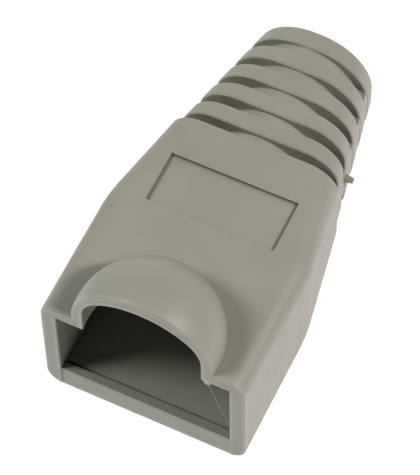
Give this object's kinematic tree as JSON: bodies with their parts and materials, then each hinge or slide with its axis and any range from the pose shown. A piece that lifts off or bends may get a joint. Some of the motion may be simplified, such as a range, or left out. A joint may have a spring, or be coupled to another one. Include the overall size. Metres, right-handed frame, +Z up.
{
  "type": "rj45 strain relief boot",
  "caption": "One-piece soft moulded strain relief boot for a modular network plug, with a ball-shaped latch hood and a ribbed tail.",
  "frame": {"origin": "middle of the boot's footprint, on the plane of its flat underside", "axes": "+Y along the cable, out of the tail; the plug mouth faces -Y; +Z up, towards the latch hood"},
  "size_m": [0.0142, 0.0262, 0.0146],
  "materials": {
    "soft_pvc": "satin, soft warm-grey moulded PVC"
  },
  "bodies": {
    "root": {"boot": "soft_pvc"}
  },
  "joints": []
}
